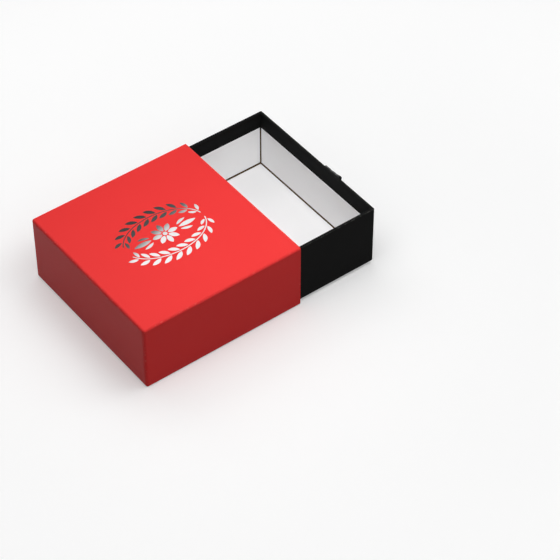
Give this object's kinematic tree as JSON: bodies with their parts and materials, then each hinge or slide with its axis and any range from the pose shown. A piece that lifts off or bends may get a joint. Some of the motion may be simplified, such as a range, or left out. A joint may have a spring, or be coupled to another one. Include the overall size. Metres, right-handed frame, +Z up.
{
  "type": "drawer gift box",
  "caption": "Rigid gift box: a red paper-covered sleeve with a silver foil ornament, and a black tray with a white lining that slides out by a satin ribbon loop.",
  "frame": {"origin": "middle of the sleeve's underside, on the surface that the box stands on", "axes": "+Z up; -Y the way the drawer opens, out of the sleeve's mouth; X across the slide"},
  "size_m": [0.2, 0.3146, 0.0811],
  "materials": {
    "red_paper": "smooth red covering paper with a satin laminate",
    "black_paper": "black dyed covering paper, matt",
    "greyboard": "raw brown-grey bookbinding board",
    "white_card": "white uncoated card",
    "kraft_tape": "gummed kraft paper tape",
    "black_satin": "black satin ribbon",
    "silver_foil": "hot-stamped silver foil"
  },
  "bodies": {
    "sleeve": {"sleeve_top_board": "greyboard", "sleeve_bottom_board": "greyboard", "sleeve_left_board": "greyboard", "sleeve_right_board": "greyboard", "sleeve_back_board": "greyboard", "sleeve_wrap": "red_paper", "sleeve_back_paper": "red_paper", "sleeve_base_paper": "red_paper", "sleeve_lining": "black_paper", "sleeve_back_lining": "black_paper", "foil_ornament": "silver_foil"},
    "tray": {"tray_base_board": "greyboard", "tray_front_board": "greyboard", "tray_back_board": "greyboard", "tray_left_board": "greyboard", "tray_right_board": "greyboard", "tray_corner_stays": "kraft_tape", "tray_wrap": "black_paper", "tray_base_paper": "black_paper", "lining_base": "white_card", "lining_front": "white_card", "lining_back": "white_card", "lining_left": "white_card", "lining_right": "white_card", "pull_ribbon": "black_satin"}
  },
  "joints": [
    {"name": "drawer_slide", "type": "slide", "parent": "sleeve", "child": "tray", "axis": [0, -1, 0], "range_m": [-0.102, 0.0865]}
  ]
}
